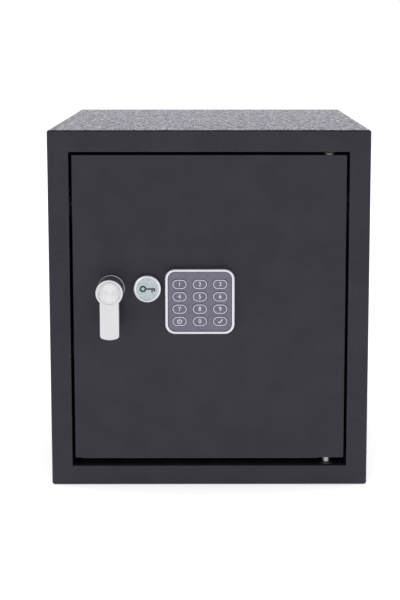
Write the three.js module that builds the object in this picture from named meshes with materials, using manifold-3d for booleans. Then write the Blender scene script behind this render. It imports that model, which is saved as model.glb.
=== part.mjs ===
// Free-standing electronic safe, in millimetres.
// Frame: +X to the right seen from the front, +Y to the back, +Z up.
// The origin is at the middle of the base, on the floor.
// Rest state: door shut, bolts drawn back, lever hanging straight down.
import * as THREE from "three";
import { mergeVertices } from "three/addons/utils/BufferGeometryUtils.js";
import Module from "manifold-3d";

const wasm = await Module();
wasm.setup();

// ---------------------------------------------------------------- driving dimensions

const WIDTH = 345;
const DEPTH = 340;
const HEIGHT = 390;
const SHEET = 2; // body sheet
const BEND = 2; // outside radius of the body's bends
const GAP = 0.3; // between pieces that touch or nest

const OPENING = { left: -150, right: 150, bottom: 21.2, top: 366.8 };
const JAMB_DEPTH = 36; // of the door frame, from the front face
const MAT = { thickness: 3, margin: 2.5, frontGap: 4, holeMargin: 4 };

const DOOR = { left: -146.7, right: 147, bottom: 30, top: 363.5, plate: 4, recess: 1 };
const STIFFENER = { left: -140, right: 119, bottom: 28, top: 361.5, depth: 36, lip: 12 };
const COVER_SHEET = 1.5;

const HINGE = {
  x: 128.5,
  inset: 9.8, // of the axis behind the door's face
  pinRadius: 3.5,
  bushRadius: 5.5,
  bushFlangeRadius: 8,
  bushFlange: 1.5,
  blockLeft: -8,
  blockRight: 8.5,
  blockDepth: 7, // behind the axis
  blockHeight: 25,
};

const FITTINGS_Z = 219.5; // height of the handle's and the lock's axis
const HANDLE = { x: -105.5, headRadius: 14.5, gripWidth: 20.7, gripLength: 51, standOff: 28, shankRadius: 5 };
const ROSETTE = { radius: 15, thickness: 4 };
const CAP = { radius: 11.6, thickness: 0.8 };
const CAM = { pinRadius: 2.5, front: 6.5, back: 10, hub: 9 };
const LOCK = { x: -66.5, badgeRadius: 15, barrelRadius: 9, barrelBack: 17, flangeRadius: 12, plugRadius: 6 };
const KEYPAD = { x: -10, z: 206, width: 74.8, height: 71.4, corner: 11, border: 3.6, depth: 8 };
const KEY = { width: 16, height: 10.8, pitchX: 21.8, pitchZ: 13.5, firstRowZ: 18.9, depth: 4.4 };
const KEY_NAMES = ["1", "2", "3", "4", "5", "6", "7", "8", "9", "power", "0", "enter"];

const STROKE = 16; // of the bolts
const BOLT = { radius: 9, spacing: 150, tipX: -144, endX: -96.3, depth: 19 };
const BOLT_STUB = { radius: 4, length: 5 };
const CARRIER = { depth: 13, sheet: 2.5, left: -118, right: -70 };
const ARM = { right: -24, bottom: 171, top: 186, notchDepth: 8 };
const STUD = { x: -102, offset: 44.5, radius: 3, head: 6 };
const SOLENOID = { x: -50, top: 163, width: 26, depth: 19.6, height: 30, plunger: 3.5 };

const CELL = { radius: 7.1, length: 49, nub: 1.2, pitch: 15.6, count: 4, depth: 22 };
const TRAY = { left: -6, bottom: 60, height: 60, front: 12, wall: 1.5 };
const BOARD = { left: 10, right: 105, bottom: 200, top: 290, depth: 19, thickness: 1.6 };
const RESET = { x: 90, z: 245, radius: 4, travel: 1.8 };
const CABLE_RADIUS = 1.75;
const SCREW = { inset: 6, radius: 2, headRadius: 4, headHeight: 2.4 };
const POST_RADIUS = 3; // of the posts that carry the control board

const SHELF_Z = 196.3;
const RAIL = { thickness: 1.5, ledge: 20, drop: 16, frontY: -100, backY: 158 };
const SHELF = { sideGap: 2.1, frontOverhang: 5, backOverhang: 4, frontLip: 12, rearLip: 10 };
const ANCHOR = { radius: 6, spacing: 160, backZ: 260 };

// Worked out from the dimensions above.
const FRONT_Y = -DEPTH / 2;
const BACK_Y = DEPTH / 2;
const INNER_X = WIDTH / 2 - SHEET;
const DOOR_Y = FRONT_Y + DOOR.recess;
const COVER_DEPTH = STIFFENER.depth + GAP;
const CRANK = STROKE / 2 / Math.sin(Math.PI / 4); // from the handle's axis to the cam's pin
const TRAY_WIDTH = CELL.count * CELL.pitch + 2 * TRAY.wall + 0.6;
const BOLT_HEIGHTS = [FITTINGS_Z - BOLT.spacing / 2, FITTINGS_Z + BOLT.spacing / 2];

// ---------------------------------------------------------------- materials

function finish(color, roughness, metalness) {
  return new THREE.MeshStandardMaterial({ color, roughness, metalness });
}

const POWDER_COAT = finish(0x3a3840, 0.55, 0.1);
const INNER_PAINT = finish(0x46444a, 0.6, 0.1);
const BRIGHT_STEEL = finish(0xc9cbce, 0.25, 1);
const ZINC_PLATE = finish(0xb4b3a6, 0.4, 1);
const SATIN_METAL = finish(0xd6d6da, 0.32, 1);
const KEYPAD_FACE = finish(0x5f5d70, 0.45, 0.2);
const KEY_PLASTIC = finish(0x6a6880, 0.5, 0);
const CIRCUIT_BOARD = finish(0x1f5a36, 0.5, 0);
const BLACK_PLASTIC = finish(0x1b1b1d, 0.55, 0);
const CELL_JACKET = finish(0x2d3c4c, 0.35, 0.2);
const RED_PLASTIC = finish(0xb3201d, 0.4, 0);
const BRASS = finish(0xb08d4a, 0.35, 1);
const CARPET = finish(0x2a2a2d, 0.95, 0);

// ---------------------------------------------------------------- solids

function solidOf(geometry) {
  const bare = geometry.clone();
  bare.deleteAttribute("normal");
  bare.deleteAttribute("uv");
  const merged = mergeVertices(bare, 1e-4);
  const mesh = new wasm.Mesh({
    numProp: 3,
    vertProperties: merged.attributes.position.array,
    triVerts: new Uint32Array(merged.index.array),
  });
  return new wasm.Manifold(mesh);
}

function geometryOf(solid) {
  const mesh = solid.getMesh();
  const geometry = new THREE.BufferGeometry();
  geometry.setAttribute("position", new THREE.BufferAttribute(mesh.vertProperties, 3));
  geometry.setIndex(new THREE.BufferAttribute(mesh.triVerts, 1));
  geometry.computeVertexNormals();
  return geometry;
}

function joined(...geometries) {
  return geometryOf(geometries.map(solidOf).reduce((whole, part) => whole.add(part)));
}

function cut(base, ...tools) {
  return geometryOf(tools.map(solidOf).reduce((whole, tool) => whole.subtract(tool), solidOf(base)));
}

// A box from its two limits along each axis.
function block([x0, x1], [y0, y1], [z0, z1]) {
  const box = new THREE.BoxGeometry(x1 - x0, y1 - y0, z1 - z0);
  return box.translate((x0 + x1) / 2, (y0 + y1) / 2, (z0 + z1) / 2);
}

// A round rod along Y.
function rodY(radius, [y0, y1], x = 0, z = 0, sides = 20) {
  return new THREE.CylinderGeometry(radius, radius, y1 - y0, sides).translate(x, (y0 + y1) / 2, z);
}

function rodX(radius, [x0, x1], y = 0, z = 0, sides = 20) {
  const rod = new THREE.CylinderGeometry(radius, radius, x1 - x0, sides).rotateZ(Math.PI / 2);
  return rod.translate((x0 + x1) / 2, y, z);
}

function rodZ(radius, [z0, z1], x = 0, y = 0, sides = 16) {
  const rod = new THREE.CylinderGeometry(radius, radius, z1 - z0, sides).rotateX(Math.PI / 2);
  return rod.translate(x, y, (z0 + z1) / 2);
}

// A rectangle with round corners, centred on x, z.
function roundedRectangle(width, height, corner, x = 0, z = 0) {
  const shape = new THREE.Shape();
  const [w, h] = [width / 2 - corner, height / 2 - corner];
  shape.absarc(x + w, z + h, corner, 0, Math.PI / 2);
  shape.absarc(x - w, z + h, corner, Math.PI / 2, Math.PI);
  shape.absarc(x - w, z - h, corner, Math.PI, 1.5 * Math.PI);
  shape.absarc(x + w, z - h, corner, 1.5 * Math.PI, 2 * Math.PI);
  return shape;
}

// A plate drawn as seen from the front (x to the right, z up), from y0 back to y1.
function plate(shape, [y0, y1], curveSegments = 2) {
  const options = { depth: y1 - y0, bevelEnabled: false, curveSegments };
  return new THREE.ExtrudeGeometry(shape, options).rotateX(Math.PI / 2).translate(0, y1, 0);
}

// The same plate with its edges rounded by the given radius.
function roundedPlate(width, height, corner, [y0, y1], radius, bevelSegments = 2, curveSegments = 2) {
  const options = {
    depth: y1 - y0 - 2 * radius,
    bevelThickness: radius,
    bevelSize: radius,
    bevelOffset: -radius,
    bevelSegments,
    curveSegments,
  };
  const shape = roundedRectangle(width, height, corner);
  return new THREE.ExtrudeGeometry(shape, options).rotateX(Math.PI / 2).translate(0, y1 - radius, 0);
}

// Solids of revolution.
// Each profile is a list of [radius, height], from the low end to the high end on the axis.
function lathed(profile, sides = 20) {
  return new THREE.LatheGeometry(
    profile.map(([radius, height]) => new THREE.Vector2(radius, height)),
    sides,
  );
}

const turnedY = (profile, sides) => lathed(profile, sides);
const turnedZ = (profile, sides) => lathed(profile, sides).rotateX(Math.PI / 2);
const turnedX = (profile, sides) => lathed(profile, sides).rotateZ(-Math.PI / 2);

// ---------------------------------------------------------------- scene graph

function group(x = 0, y = 0, z = 0) {
  const made = new THREE.Group();
  made.position.set(x, y, z);
  return made;
}

function place(parent, name, geometry, material, [x, y, z] = [0, 0, 0]) {
  const mesh = new THREE.Mesh(geometry, material);
  mesh.name = name;
  mesh.position.set(x, y, z);
  parent.add(mesh);
  return mesh;
}

// ---------------------------------------------------------------- cabinet

// The middles of the two anchor holes, as distances from the object's middle plane.
function anchorPlaces() {
  return [-ANCHOR.spacing / 2, ANCHOR.spacing / 2];
}

// Four walls and the front face ring, folded from one sheet.
function bodyWrap() {
  const along = [FRONT_Y, BACK_Y + 10];
  const outer = roundedPlate(WIDTH, HEIGHT, BEND + 0.5, along, BEND, 2, 1).translate(0, 0, HEIGHT / 2);
  const cavity = block([-INNER_X, INNER_X], [FRONT_Y + SHEET, BACK_Y + 20], [SHEET, HEIGHT - SHEET]);
  const doorway = block(
    [OPENING.left, OPENING.right],
    [FRONT_Y - 1, FRONT_Y + SHEET + 1],
    [OPENING.bottom, OPENING.top],
  );
  const beyond = block([-WIDTH, WIDTH], [BACK_Y, BACK_Y + 30], [-10, HEIGHT + 10]);
  const holes = anchorPlaces().map((x) => rodZ(ANCHOR.radius, [-5, 5], x));
  return cut(outer, cavity, doorway, beyond, ...holes);
}

// The sheet lining of the doorway, behind the front face ring, with a square hole for each bolt.
function doorFrame() {
  const depth = [FRONT_Y + SHEET + GAP, FRONT_Y + JAMB_DEPTH];
  const outer = block(
    [OPENING.left - SHEET, OPENING.right + SHEET],
    depth,
    [OPENING.bottom - SHEET, OPENING.top + SHEET],
  );
  const doorway = block(
    [OPENING.left, OPENING.right],
    [depth[0] - 1, depth[1] + 1],
    [OPENING.bottom, OPENING.top],
  );
  const half = BOLT.radius + 2;
  const boltY = DOOR_Y + BOLT.depth;
  const boltHoles = BOLT_HEIGHTS.map((z) =>
    block([OPENING.left - 5, OPENING.left + 5], [boltY - half, boltY + half], [z - half, z + half]),
  );
  const pinY = DOOR_Y + HINGE.inset;
  const bushHoles = [OPENING.bottom, OPENING.top].map((z) =>
    rodZ(HINGE.bushRadius + GAP, [z - 5, z + 5], HINGE.x, pinY),
  );
  return cut(outer, doorway, ...boltHoles, ...bushHoles);
}

function backPanel() {
  const width = 2 * (INNER_X - GAP);
  const height = HEIGHT - 2 * (SHEET + GAP);
  const sheet = block([-width / 2, width / 2], [BACK_Y - SHEET, BACK_Y], [SHEET + GAP, SHEET + GAP + height]);
  const holes = anchorPlaces().map((x) => rodY(ANCHOR.radius, [BACK_Y - 5, BACK_Y + 5], x, ANCHOR.backZ, 16));
  return cut(sheet, ...holes);
}

// A flanged bush: its flange lies on the frame, inside the doorway, and its barrel goes through the sheet.
function hingeBush() {
  const profile = [
    [0, -6],
    [HINGE.bushRadius, -6],
    [HINGE.bushRadius, GAP],
    [HINGE.bushFlangeRadius, GAP],
    [HINGE.bushFlangeRadius, GAP + HINGE.bushFlange],
    [0, GAP + HINGE.bushFlange],
  ];
  return cut(turnedZ(profile, 16), rodZ(HINGE.pinRadius + GAP, [-10, 10]));
}

function floorMat() {
  const bottom = SHEET + GAP;
  const sheet = block(
    [-INNER_X + MAT.margin, INNER_X - MAT.margin],
    [FRONT_Y + JAMB_DEPTH + MAT.frontGap, BACK_Y - SHEET - MAT.margin],
    [bottom, bottom + MAT.thickness],
  );
  const holes = anchorPlaces().map((x) => rodZ(ANCHOR.radius + MAT.holeMargin, [-5, 10], x));
  return cut(sheet, ...holes);
}

// An angle on the left wall, its ledge pointing inwards; the right one is its mirror image.
function shelfRail(side) {
  const wall = side * (INNER_X - GAP);
  const leg = wall - side * RAIL.thickness;
  const edge = wall - side * RAIL.ledge;
  const top = SHELF_Z - GAP;
  const along = [RAIL.frontY, RAIL.backY];
  const upright = block(ordered(wall, leg), along, [top - RAIL.drop, top]);
  const ledge = block(ordered(wall, edge), along, [top - RAIL.thickness, top]);
  return joined(upright, ledge);
}

function ordered(a, b) {
  return [Math.min(a, b), Math.max(a, b)];
}

// A loose sheet shelf with its front edge turned down and its rear edge turned up.
function shelfTray() {
  const half = INNER_X - SHELF.sideGap;
  const frontY = RAIL.frontY - SHELF.frontOverhang;
  const backY = RAIL.backY + SHELF.backOverhang;
  const top = SHELF_Z + RAIL.thickness;
  const sheet = block([-half, half], [frontY, backY], [SHELF_Z, top]);
  const frontLip = block([-half, half], [frontY, frontY + RAIL.thickness], [SHELF_Z - SHELF.frontLip, top]);
  const rearLip = block([-half, half], [backY - RAIL.thickness, backY], [SHELF_Z, top + SHELF.rearLip]);
  return joined(sheet, frontLip, rearLip);
}

function cabinet() {
  const made = group();
  place(made, "body_wrap", bodyWrap(), POWDER_COAT);
  place(made, "door_frame", doorFrame(), POWDER_COAT);
  place(made, "back_panel", backPanel(), POWDER_COAT);
  place(made, "floor_mat", floorMat(), CARPET);
  place(made, "shelf_rail_left", shelfRail(-1), INNER_PAINT);
  place(made, "shelf_rail_right", shelfRail(1), INNER_PAINT);
  place(made, "shelf", shelfTray(), INNER_PAINT);
  const pinY = DOOR_Y + HINGE.inset;
  place(made, "hinge_bush_lower", hingeBush(), POWDER_COAT, [HINGE.x, pinY, OPENING.bottom]);
  const upper = place(made, "hinge_bush_upper", hingeBush(), POWDER_COAT, [HINGE.x, pinY, OPENING.top]);
  upper.rotation.x = Math.PI;
  return made;
}

// ---------------------------------------------------------------- door leaf (y = 0 on its front face)

function doorPanel() {
  const width = DOOR.right - DOOR.left;
  const height = DOOR.top - DOOR.bottom;
  const sheet = roundedPlate(width, height, 1.2, [0, DOOR.plate], 0.6, 1, 1).translate(
    (DOOR.left + DOOR.right) / 2,
    0,
    (DOOR.bottom + DOOR.top) / 2,
  );
  const through = [-2, DOOR.plate + 2];
  return cut(
    sheet,
    rodY(HANDLE.shankRadius + 1, through, HANDLE.x, FITTINGS_Z),
    rodY(LOCK.barrelRadius + 0.5, through, LOCK.x, FITTINGS_Z),
    rodY(5, through, KEYPAD.x, KEYPAD.z, 16),
  );
}

// A folded sheet ring behind the plate, open in the middle, with inward lips that carry the inner cover.
function doorStiffener() {
  const { left, right, bottom, top, depth, lip } = STIFFENER;
  const outer = block([left, right], [DOOR.plate + GAP, depth], [bottom, top]);
  const room = block(
    [left + SHEET, right - SHEET],
    [0, depth - SHEET],
    [bottom + SHEET, top - SHEET],
  );
  const window = block([left + lip, right - lip], [0, depth + 5], [bottom + lip, top - lip]);
  const boltHoles = BOLT_HEIGHTS.map((z) => rodX(BOLT.radius + 0.5, [left - 5, left + 5], BOLT.depth, z));
  return cut(outer, room, window, ...boltHoles);
}

// The steel block behind the plate that holds a pin; its axis is the hinge's.
function hingeBlock() {
  const front = DOOR.plate + GAP - HINGE.inset;
  const body = block([HINGE.blockLeft, HINGE.blockRight], [front, HINGE.blockDepth], [0, HINGE.blockHeight]);
  return cut(body, rodZ(HINGE.pinRadius + GAP, [-5, HINGE.blockHeight + 5]));
}

// A shouldered pin from inside the frame's bush, over the given reach, and on into the hinge block.
function hingePin(reach) {
  const bushTop = GAP + HINGE.bushFlange + GAP;
  const collarFoot = Math.max(reach - 3.2, bushTop + 0.2);
  const collarRadius = HINGE.pinRadius + 1.7;
  const neckRadius = HINGE.pinRadius + 0.8;
  const top = reach + HINGE.blockHeight - 2;
  const profile = [
    [0, -4],
    [HINGE.pinRadius, -4],
    [HINGE.pinRadius, bushTop],
    [neckRadius, bushTop],
    [neckRadius, collarFoot],
    [collarRadius, collarFoot + 0.2],
    [collarRadius, reach - GAP],
    [HINGE.pinRadius, reach - GAP],
    [HINGE.pinRadius, top],
    [0, top],
  ];
  return turnedZ(profile, 16);
}

// The inner cover: a flat sheet over the stiffener, cut out for the cells, with posts for the control board.
function innerCover() {
  const { left, right, bottom, top } = STIFFENER;
  const faces = [COVER_DEPTH, COVER_DEPTH + COVER_SHEET];
  const sheet = block([left + 0.6, right - 0.6], faces, [bottom + 0.6, top - 0.6]);
  const through = [COVER_DEPTH - 2, COVER_DEPTH + COVER_SHEET + 2];
  const window = block(
    [TRAY.left + TRAY.wall, TRAY.left + TRAY_WIDTH - TRAY.wall],
    through,
    [TRAY.bottom + 3, TRAY.bottom + TRAY.height - 3],
  );
  const buttonHole = rodY(RESET.radius + 0.6, through, RESET.x, RESET.z, 16);
  const screwHoles = screwPlaces().map(([x, z]) => rodY(SCREW.radius + 0.5, through, x, z, 12));
  const posts = boardCorners().map(([x, z]) =>
    rodY(POST_RADIUS, [BOARD.depth + BOARD.thickness + GAP, COVER_DEPTH + 1], x, z, 12),
  );
  return joined(cut(sheet, window, buttonHole, ...screwHoles), ...posts);
}

function screwPlaces() {
  const xs = [STIFFENER.left + SCREW.inset, STIFFENER.right - SCREW.inset];
  const zs = [STIFFENER.bottom + SCREW.inset, STIFFENER.top - SCREW.inset];
  return xs.flatMap((x) => zs.map((z) => [x, z]));
}

// A pan-head screw whose shank ends inside the cover's hole, just short of the stiffener's lip.
function coverScrew() {
  const tip = COVER_DEPTH + 0.1;
  const head = COVER_DEPTH + COVER_SHEET + GAP;
  const profile = [
    [0, tip],
    [SCREW.radius, tip],
    [SCREW.radius, head],
    [SCREW.headRadius, head],
    [SCREW.headRadius, head + 1],
    [SCREW.headRadius - 1, head + 2],
    [0, head + SCREW.headHeight],
  ];
  return turnedY(profile, 12);
}

// ---------------------------------------------------------------- electronics inside the door

function batteryTray() {
  const { left, bottom, height, front, wall } = TRAY;
  const back = COVER_DEPTH - 0.5;
  const outer = block([left, left + TRAY_WIDTH], [front, back], [bottom, bottom + height]);
  const room = block(
    [left + wall, left + TRAY_WIDTH - wall],
    [front + wall, back + 5],
    [bottom + wall, bottom + height - wall],
  );
  return cut(outer, room);
}

// A round cell standing on its flat end, with a nub on top.
function cell() {
  const chamfer = 0.6;
  const nubRadius = 2.7;
  const profile = [
    [0, 0],
    [CELL.radius - chamfer, 0],
    [CELL.radius, chamfer],
    [CELL.radius, CELL.length - chamfer],
    [CELL.radius - chamfer, CELL.length],
    [nubRadius, CELL.length],
    [nubRadius, CELL.length + CELL.nub],
    [0, CELL.length + CELL.nub],
  ];
  return turnedZ(profile, 14);
}

function cellX(index) {
  return TRAY.left + TRAY_WIDTH / 2 + (index - (CELL.count - 1) / 2) * CELL.pitch;
}

// The lid closes the cover's window, with a finger scoop in its outer face.
function batteryCover() {
  const width = TRAY_WIDTH - 4;
  const height = TRAY.height - 7;
  const lid = block([-width / 2, width / 2], [-0.2, COVER_SHEET + 0.6], [-height / 2, height / 2]);
  const scoop = rodZ(9, [-6, 6], 0, COVER_SHEET + 8.6, 24).translate(0, 0, height / 2 - 10);
  return cut(lid, scoop);
}

function controlBoard() {
  const faces = [BOARD.depth, BOARD.depth + BOARD.thickness];
  return block([BOARD.left, BOARD.right], faces, [BOARD.bottom, BOARD.top]);
}

function boardCorners() {
  const inset = 5;
  const xs = [BOARD.left + inset, BOARD.right - inset];
  const zs = [BOARD.bottom + inset, BOARD.top - inset];
  return xs.flatMap((x) => zs.map((z) => [x, z]));
}

// A mushroom button: its stem stops short of the control board by its travel.
function resetButton() {
  const inner = BOARD.depth + BOARD.thickness + RESET.travel + 0.8;
  const shoulder = COVER_DEPTH - 3;
  const outer = COVER_DEPTH + COVER_SHEET + 2.4;
  const stemRadius = 2;
  const profile = [
    [0, inner],
    [stemRadius, inner],
    [stemRadius, shoulder],
    [RESET.radius, shoulder],
    [RESET.radius, outer - 0.8],
    [RESET.radius - 0.8, outer],
    [0, outer],
  ];
  return turnedY(profile, 16);
}

// From the keypad's board through the door plate to the control board.
function keypadCable() {
  const route = new THREE.CatmullRomCurve3([
    new THREE.Vector3(KEYPAD.x, -0.6, KEYPAD.z),
    new THREE.Vector3(KEYPAD.x, 4, KEYPAD.z),
    new THREE.Vector3(KEYPAD.x + 3, 10, KEYPAD.z + 1),
    new THREE.Vector3(KEYPAD.x + 14, 11.5, KEYPAD.z + 5),
    new THREE.Vector3(KEYPAD.x + 26, 11.5, KEYPAD.z + 9),
    new THREE.Vector3(KEYPAD.x + 34, 14, KEYPAD.z + 11),
    new THREE.Vector3(KEYPAD.x + 35, BOARD.depth - 0.9, KEYPAD.z + 11),
  ]);
  const section = new THREE.Shape().absarc(0, 0, CABLE_RADIUS, 0, 2 * Math.PI);
  const options = { extrudePath: route, steps: 14, curveSegments: 2, bevelEnabled: false };
  return new THREE.ExtrudeGeometry(section, options);
}

function solenoidCoil() {
  const { width, depth, height, plunger } = SOLENOID;
  const frame = block([-width / 2, width / 2], [-depth / 2, depth / 2], [-height, 0]);
  return cut(frame, rodZ(plunger + 0.4, [-height - 1, 1]));
}

// ---------------------------------------------------------------- bolt work (depths from the door's face)

// A flat carrier with a tab for each bolt and a slot for the cam's pin.
// It has two guide slots, a notch that clears the lock and an arm with two notches for the plunger.
function boltCarrier() {
  const faces = [CARRIER.depth, CARRIER.depth + CARRIER.sheet];
  const through = [faces[0] - 1, faces[1] + 1];
  const [lower, upper] = BOLT_HEIGHTS;
  const web = block([CARRIER.left, CARRIER.right], faces, [lower + 16.5, upper - 16.5]);
  const tabX = BOLT.endX + GAP;
  const spine = block([tabX, CARRIER.right], faces, [lower - 12, upper + 12]);
  const tabs = [lower, upper].map((z) => block([tabX, tabX + 2.5], [faces[0] - 3, 28], [z - 11, z + 11]));
  const arm = block([CARRIER.right - 1, ARM.right], faces, [ARM.bottom, ARM.top]);
  const pinHalf = CAM.pinRadius + 0.65;
  const pinSlot = block(
    [HANDLE.x + STROKE / 2 - pinHalf, HANDLE.x + STROKE / 2 + pinHalf],
    through,
    [FITTINGS_Z - CRANK - CAM.pinRadius - 0.8, FITTINGS_Z - STROKE / 2 + CAM.pinRadius + 0.8],
  );
  const guideSlots = [-1, 1].map((side) => {
    const z = FITTINGS_Z + side * STUD.offset;
    const half = STUD.radius + 0.5;
    return block([STUD.x - half, STUD.x + STROKE + half], through, [z - half, z + half]);
  });
  const notchHalf = SOLENOID.plunger + 0.6;
  const notches = [0, STROKE].map((shift) => {
    const x = SOLENOID.x + shift;
    return block([x - notchHalf, x + notchHalf], through, [ARM.bottom - 1, ARM.bottom + ARM.notchDepth]);
  });
  const lockHalf = LOCK.barrelRadius + 4;
  const lockNotch = block(
    [LOCK.x - lockHalf, CARRIER.right + 1],
    through,
    [FITTINGS_Z - lockHalf, FITTINGS_Z + lockHalf],
  );
  const alongTab = [tabX - 2, tabX + 5];
  const stubHoles = [lower, upper].map((z) => rodX(BOLT_STUB.radius + 0.4, alongTab, BOLT.depth, z));
  const whole = joined(web, spine, arm, ...tabs);
  return cut(whole, pinSlot, ...guideSlots, ...notches, lockNotch, ...stubHoles);
}

// A round bolt with a chamfered nose; its stub goes through the carrier's tab.
function bolt() {
  const stubEnd = BOLT.endX + BOLT_STUB.length;
  const profile = [
    [0, BOLT.tipX],
    [BOLT.radius - 2, BOLT.tipX],
    [BOLT.radius, BOLT.tipX + 2],
    [BOLT.radius, BOLT.endX],
    [BOLT_STUB.radius, BOLT.endX],
    [BOLT_STUB.radius, stubEnd],
    [0, stubEnd],
  ];
  return turnedX(profile, 20);
}

// A stepped stud on the door plate whose head keeps the carrier on it.
function carrierStud() {
  const start = DOOR.plate + GAP;
  const step = CARRIER.depth - GAP;
  const head = CARRIER.depth + CARRIER.sheet + GAP;
  const profile = [
    [0, start],
    [STUD.radius + 2, start],
    [STUD.radius + 2, step],
    [STUD.radius, step],
    [STUD.radius, head],
    [STUD.head, head],
    [STUD.head, head + 2],
    [0, head + 2],
  ];
  return turnedY(profile, 12);
}

function solenoidPlunger() {
  const [bottom, tip] = [-24, 7];
  const profile = [
    [0, bottom],
    [SOLENOID.plunger, bottom],
    [SOLENOID.plunger, tip - 1],
    [SOLENOID.plunger - 1, tip],
    [0, tip],
  ];
  return turnedZ(profile, 16);
}

// ---------------------------------------------------------------- handle (origin on its axis, on the door)

function handleRosette() {
  const face = -GAP - ROSETTE.thickness;
  const chamfer = 1.2;
  const profile = [
    [0, face],
    [ROSETTE.radius - chamfer, face],
    [ROSETTE.radius, face + chamfer],
    [ROSETTE.radius, -GAP],
    [0, -GAP],
  ];
  return cut(turnedY(profile, 32), rodY(HANDLE.shankRadius + 1, [-10, 5]));
}

// Round head, flat grip hanging from it and the shank that goes through the door.
function handleLever() {
  const face = -HANDLE.standOff;
  const back = -4.6;
  const profile = [
    [0, face],
    [HANDLE.headRadius - 0.9, face],
    [HANDLE.headRadius, face + 0.9],
    [HANDLE.headRadius, back - 1.4],
    [HANDLE.headRadius - 1.2, back],
    [0, back],
  ];
  const head = turnedY(profile, 32);
  const recess = rodY(CAP.radius + GAP, [face - 1, face + CAP.thickness + 0.4], 0, 0, 32);
  const { gripWidth, gripLength } = HANDLE;
  const grip = roundedPlate(gripWidth, gripLength, 4, [face + 0.3, face + 10], 1.2, 1);
  grip.translate(0, 0, -gripLength / 2);
  const shank = rodY(HANDLE.shankRadius, [-8, CAM.back]);
  return joined(cut(joined(head, grip), recess), shank);
}

// A disc let into the head's face.
function handleCap() {
  const face = 0.1 - HANDLE.standOff;
  const chamfer = 0.5;
  const profile = [
    [0, face],
    [CAP.radius - chamfer, face],
    [CAP.radius, face + chamfer],
    [CAP.radius, face + CAP.thickness],
    [0, face + CAP.thickness],
  ];
  return turnedY(profile, 32);
}

// The cam sits on the shank in front of the carrier; its pin reaches back through the carrier's slot.
function handleCam() {
  const arm = CRANK / Math.SQRT2;
  const faces = [CAM.front, CAM.back];
  const hub = rodY(CAM.hub, faces);
  const lobe = rodY(CAM.pinRadius + 2.5, faces, arm, -arm);
  const pin = rodY(CAM.pinRadius, [CAM.front + 1, CARRIER.depth + CARRIER.sheet + 2.5], arm, -arm, 16);
  return cut(joined(hub, lobe, pin), rodY(HANDLE.shankRadius + GAP, [0, 20]));
}

function handle(door) {
  const made = group(HANDLE.x, 0, FITTINGS_Z);
  place(made, "handle_rosette", handleRosette(), SATIN_METAL);
  place(made, "handle_lever", handleLever(), SATIN_METAL);
  place(made, "handle_cap", handleCap(), SATIN_METAL);
  place(made, "handle_cam", handleCam(), ZINC_PLATE);
  door.add(made);
}

// ---------------------------------------------------------------- override lock (origin on its axis)

function lockBarrel() {
  const face = -3.3;
  const chamfer = 0.8;
  const profile = [
    [0, face],
    [LOCK.flangeRadius - chamfer, face],
    [LOCK.flangeRadius, face + chamfer],
    [LOCK.flangeRadius, -GAP],
    [LOCK.barrelRadius, -GAP],
    [LOCK.barrelRadius, LOCK.barrelBack],
    [0, LOCK.barrelBack],
  ];
  return cut(turnedY(profile), rodY(LOCK.plugRadius + GAP, [-10, 30]));
}

// A hexagonal nut behind the door plate.
function lockNut() {
  const nut = rodY(12, [DOOR.plate + GAP, DOOR.plate + 5], 0, 0, 6);
  return cut(nut, rodY(LOCK.barrelRadius + GAP, [0, 20]));
}

// The plug, with its key slot open at the front.
function lockPlug() {
  const plug = rodY(LOCK.plugRadius, [-3.4, LOCK.barrelBack + 2.6]);
  return cut(plug, block([-1, 1], [-5, 12], [-4, 4]));
}

// The tongue on the plug's rear end.
function lockCam() {
  const faces = [LOCK.barrelBack + GAP, LOCK.barrelBack + GAP + SHEET];
  const hub = rodY(9.5, faces);
  const arm = block([-4, 4], faces, [-18, 0]);
  return cut(joined(hub, arm), rodY(LOCK.plugRadius + GAP, [0, 30]));
}

// A domed cap that hides the lock's face.
function badgeCover() {
  const face = -5.6;
  const profile = [
    [0, face],
    [LOCK.badgeRadius - 3.2, face],
    [LOCK.badgeRadius - 1.4, face - 0.4],
    [LOCK.badgeRadius, face + 1],
    [LOCK.badgeRadius, -GAP],
    [0, -GAP],
  ];
  const room = rodY(LOCK.flangeRadius + 0.6, [-4, 5], 0, 0, 24);
  return cut(turnedY(profile, 32), room);
}

function overrideLock(door) {
  const made = group(LOCK.x, 0, FITTINGS_Z);
  place(made, "lock_barrel", lockBarrel(), BRASS);
  place(made, "lock_nut", lockNut(), ZINC_PLATE);
  place(made, "lock_plug", lockPlug(), BRASS);
  place(made, "lock_cam", lockCam(), ZINC_PLATE);
  place(made, "badge_cover", badgeCover(), SATIN_METAL);
  door.add(made);
}

// ---------------------------------------------------------------- keypad (origin at its middle, on the door)

function keyPlace(index) {
  const column = (index % 3) - 1;
  const row = Math.floor(index / 3);
  return [column * KEY.pitchX, KEY.firstRowZ - row * KEY.pitchZ];
}

function keypadBezel() {
  const { width, height, corner, border, depth } = KEYPAD;
  const outer = roundedPlate(width, height, corner, [-depth, -GAP + 1], 1, 1);
  const inner = plate(
    roundedRectangle(width - 2 * border, height - 2 * border, corner - border),
    [-depth - 5, 5],
  );
  const beyond = block([-width, width], [-GAP, 5], [-height, height]);
  return cut(outer, inner, beyond);
}

function keypadPanel() {
  const margin = KEYPAD.border + GAP;
  const face = 1 - KEYPAD.depth;
  const sheet = plate(
    roundedRectangle(KEYPAD.width - 2 * margin, KEYPAD.height - 2 * margin, KEYPAD.corner - margin),
    [face, face + 3.5],
  );
  const holes = KEY_NAMES.map((_, index) => {
    const [x, z] = keyPlace(index);
    const hole = roundedRectangle(KEY.width + 0.7, KEY.height + 0.7, KEY.height / 2, x, z);
    return plate(hole, [face - 1, face + 5]);
  });
  return cut(sheet, ...holes);
}

function keypadBoard() {
  return block([-30, 30], [-2.4, -1], [-28, 28]);
}

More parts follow.
